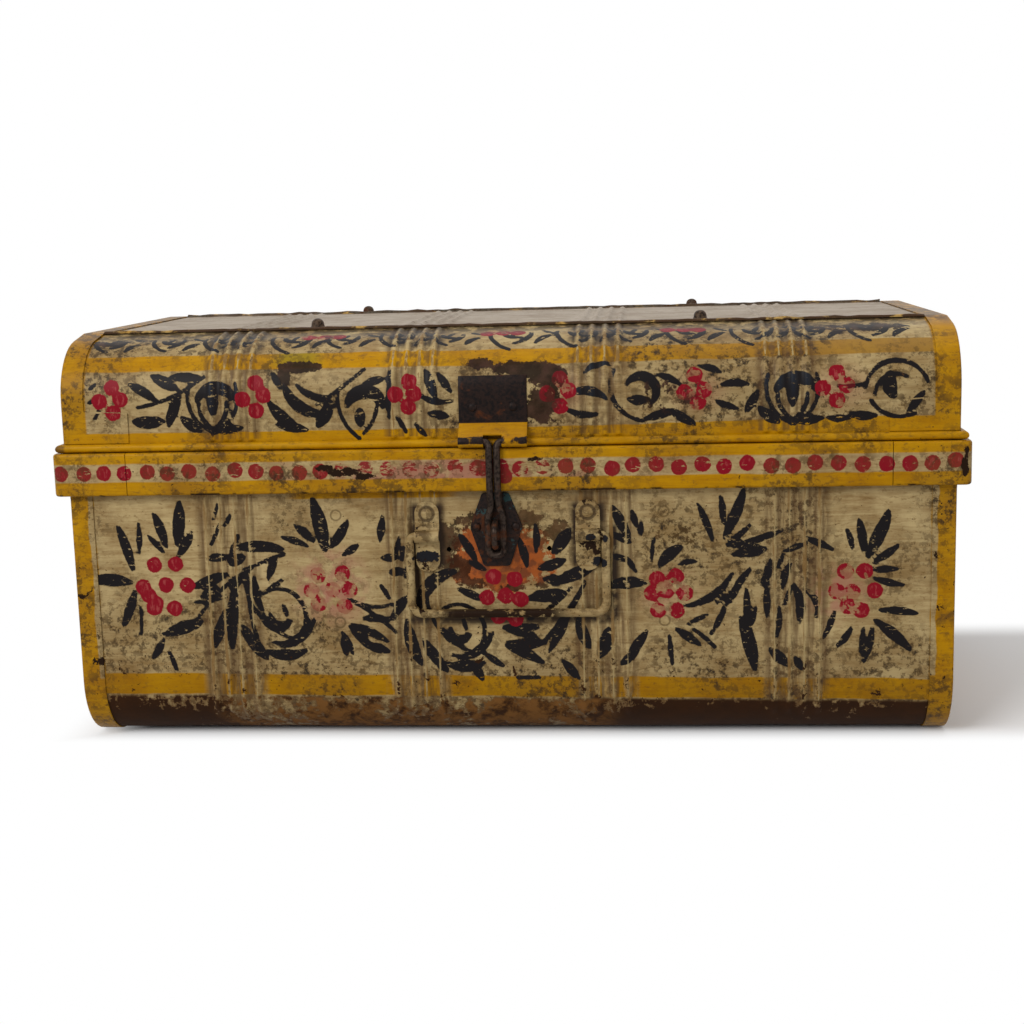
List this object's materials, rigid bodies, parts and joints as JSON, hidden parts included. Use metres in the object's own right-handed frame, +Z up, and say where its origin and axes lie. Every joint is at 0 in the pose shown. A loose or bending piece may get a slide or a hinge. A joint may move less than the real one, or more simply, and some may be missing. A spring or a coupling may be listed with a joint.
{
  "type": "tin trunk",
  "caption": "Small painted tin trunk with ribbed sheet panels, a hollow collar, a hinged round-edged lid, a wire hasp over a staple and a folding wire handle.",
  "frame": {"origin": "middle of the footprint, on the surface that the trunk stands on", "axes": "+X to the right along the front, +Y from the front to the back, +Z up"},
  "size_m": [0.51, 0.2954, 0.2409],
  "materials": {
    "case_paint": "cream house paint with folk scrolls over ribbed tinplate, yellow bands, flaked to brown near the floor",
    "collar_paint": "yellow paint with a cream stripe of red dots, worn along the edges",
    "lid_paint": "cream and yellow paint with black leaf scrolls, scuffed",
    "top_paint": "dull greyish beige paint with dust",
    "fitting_iron": "dark browned iron with paint smears",
    "hasp_steel": "bare wire, darkened, rubbed bright on its front",
    "handle_paint": "cream paint worn to dark metal on the grip",
    "hinge_steel": "dull steel with rust in the corners",
    "edge_wire_steel": "plain drawn wire, hidden in the rolled edge"
  },
  "bodies": {
    "case": {"case_shell": "case_paint", "case_end_left": "case_paint", "case_end_right": "case_paint", "collar_front": "collar_paint", "collar_back": "collar_paint", "collar_end_left": "collar_paint", "collar_end_right": "collar_paint", "staple_plate": "fitting_iron", "staple_plate_rivets": "fitting_iron", "staple": "hasp_steel", "handle_bracket_left": "handle_paint", "handle_bracket_right": "handle_paint", "handle_bracket_rivets": "handle_paint", "hinge_case_leaf_left": "hinge_steel", "hinge_case_leaf_right": "hinge_steel", "hinge_pin_left": "hinge_steel", "hinge_pin_right": "hinge_steel"},
    "lid": {"lid_front_shoulder": "lid_paint", "lid_back_shoulder": "lid_paint", "lid_top_panel": "top_paint", "lid_end_left": "lid_paint", "lid_end_right": "lid_paint", "lid_edge_wire": "edge_wire_steel", "lid_studs": "fitting_iron", "hasp_plate": "fitting_iron", "hasp_plate_rivets": "fitting_iron", "hinge_lid_leaf_left": "hinge_steel", "hinge_lid_leaf_right": "hinge_steel"},
    "hasp": {"hasp_loop": "hasp_steel"},
    "handle": {"handle_bail": "handle_paint"}
  },
  "joints": [
    {"name": "lid_hinge", "type": "hinge", "parent": "case", "child": "lid", "pos_m": [0, 0.14358, 0.17438], "axis": [-1, 0, 0], "range_deg": [0, 105]},
    {"name": "hasp_swing", "type": "hinge", "parent": "lid", "child": "hasp", "pos_m": [-0.0048, -0.14203, 0.17448], "axis": [-1, 0, 0], "range_deg": [0, 135]},
    {"name": "handle_swing", "type": "hinge", "parent": "case", "child": "handle", "pos_m": [0.0014, -0.1374, 0.121], "axis": [-1, 0, 0], "range_deg": [0, 150]}
  ]
}
